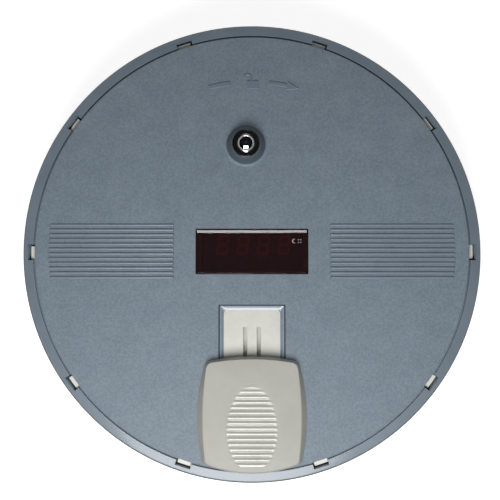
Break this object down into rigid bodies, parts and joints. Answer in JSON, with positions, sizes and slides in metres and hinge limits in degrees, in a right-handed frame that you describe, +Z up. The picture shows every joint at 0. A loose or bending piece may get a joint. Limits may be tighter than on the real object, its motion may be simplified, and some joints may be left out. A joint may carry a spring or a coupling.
{
  "type": "automatic pill dispenser",
  "caption": "Round tabletop pill dispenser: turning tray of cells round a control hub, twist-lock lid with key lock, display window and sliding door over the pill opening.",
  "frame": {"origin": "centre of the footprint, on the plane that the feet stand on", "axes": "+Z up, -Y to the front where the sliding door is, +X to the right seen from the front"},
  "size_m": [0.2666, 0.2666, 0.0635],
  "materials": {
    "blue_grey_plastic": "fine moulded texture",
    "cream_plastic": "satin",
    "door_plastic": "semi-gloss",
    "white_plastic": "satin",
    "button_plastic": "satin",
    "red_button_plastic": "satin",
    "black_plastic": "satin",
    "red_lens": "polished, dark red",
    "circuit_board": "solder mask",
    "battery_sleeve": "printed sleeve",
    "chrome": "polished",
    "steel": "zinc plated",
    "rubber": "matt"
  },
  "bodies": {
    "base": {"base_shell": "cream_plastic", "rubber_feet": "rubber", "battery_door": "cream_plastic", "battery_door_screw": "steel", "battery_cells": "battery_sleeve", "battery_contacts": "steel", "power_jack": "black_plastic", "drive_motor": "steel", "motor_screws": "steel", "index_sensor": "black_plastic", "hub_cover": "cream_plastic", "hub_cover_screws": "steel", "lock_keeper": "steel", "main_board": "circuit_board", "board_screws": "steel", "led_display": "black_plastic", "tact_switches": "black_plastic", "sounder": "black_plastic"},
    "tray": {"pill_tray": "white_plastic"},
    "pinion": {"drive_pinion": "white_plastic", "motor_shaft": "steel"},
    "lid": {"lid_shell": "blue_grey_plastic", "display_window": "red_lens", "track_plate": "cream_plastic", "track_plate_screws": "steel", "lock_body": "black_plastic", "lock_bezel": "chrome", "lock_nut": "steel"},
    "lock": {"lock_plug": "chrome", "lock_cam": "steel", "cam_screw": "steel"},
    "door": {"slide_door": "door_plastic"},
    "hour_button": {"hour_button": "button_plastic"},
    "minute_button": {"minute_button": "button_plastic"},
    "set_button": {"set_button": "button_plastic"},
    "alarm_button": {"alarm_button": "red_button_plastic"}
  },
  "joints": [
    {"name": "lid_turn", "type": "hinge", "parent": "base", "child": "lid", "pos_m": [0, 0, 0.05], "axis": [0, 0, 1], "range_deg": [-3.6, 0]},
    {"name": "door_slide", "type": "slide", "parent": "lid", "child": "door", "axis": [0, 1, 0], "range_m": [0, 0.027]},
    {"name": "lock_turn", "type": "hinge", "parent": "lid", "child": "lock", "pos_m": [-0.0035, 0.0625, 0.055], "axis": [0, 0, 1], "range_deg": [0, 90]},
    {"name": "tray_turn", "type": "hinge", "parent": "base", "child": "tray", "pos_m": [0, 0, 0.03], "axis": [0, 0, 1], "continuous": true},
    {"name": "pinion_spin", "type": "hinge", "parent": "base", "child": "pinion", "pos_m": [-0.075, 0, 0.02], "axis": [0, 0, 1], "continuous": true},
    {"name": "hour_button_press", "type": "slide", "parent": "base", "child": "hour_button", "axis": [0, 0, -1], "range_m": [0, 0.0008], "stiffness_N_per_m": 600},
    {"name": "minute_button_press", "type": "slide", "parent": "base", "child": "minute_button", "axis": [0, 0, -1], "range_m": [0, 0.0008], "stiffness_N_per_m": 600},
    {"name": "set_button_press", "type": "slide", "parent": "base", "child": "set_button", "axis": [0, 0, -1], "range_m": [0, 0.0008], "stiffness_N_per_m": 600},
    {"name": "alarm_button_press", "type": "slide", "parent": "base", "child": "alarm_button", "axis": [0, 0, -1], "range_m": [0, 0.0008], "stiffness_N_per_m": 600}
  ],
  "couplings": [
    {"joint": "pinion_spin", "follows": "tray_turn", "ratio": 9.3333}
  ]
}
